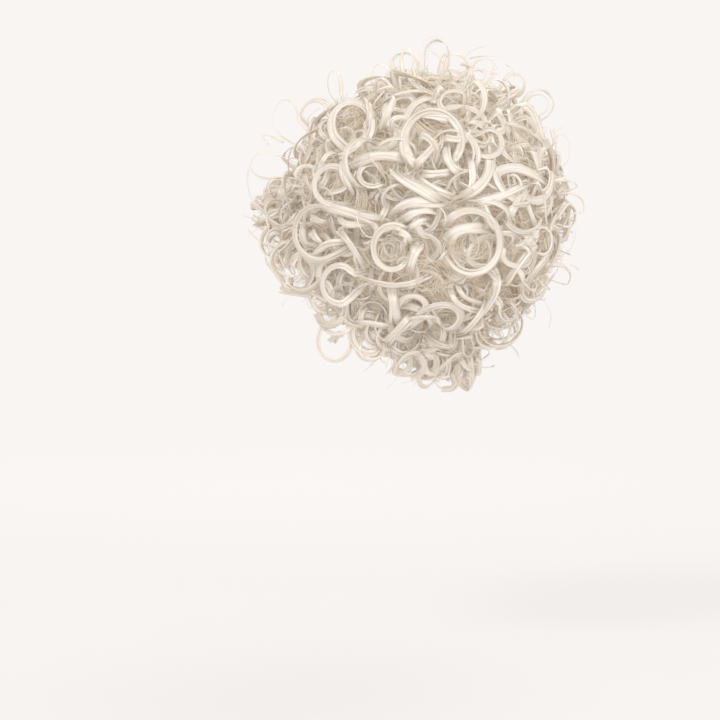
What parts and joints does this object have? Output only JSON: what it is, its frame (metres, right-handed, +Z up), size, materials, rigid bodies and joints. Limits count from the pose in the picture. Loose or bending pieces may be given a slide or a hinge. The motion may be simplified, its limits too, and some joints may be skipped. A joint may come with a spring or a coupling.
{
  "type": "top knot hairpiece",
  "caption": "Round top knot hairpiece of loose ribbon curls in tiers on a small hidden cap with an elastic rim and combs, hollow where the crown of the head goes in.",
  "frame": {"origin": "point where the middle of the cap sits on the crown of the wearer's head", "axes": "+Z up, the wearer faces -Y, the wearer's left is +X; the knot leans back from +Z towards +Y by 44 degrees"},
  "size_m": [0.2244, 0.2313, 0.2536],
  "materials": {
    "curls": "pale blonde synthetic hair, satin shine",
    "cap": "matte stretch mesh",
    "comb": "smooth plastic"
  },
  "bodies": {
    "root": {"crown_weft_curls": "curls", "middle_weft_curls": "curls", "lower_weft_curls": "curls", "base_cap": "cap", "rim_elastic": "cap", "front_comb": "comb", "back_comb": "comb"}
  },
  "joints": []
}
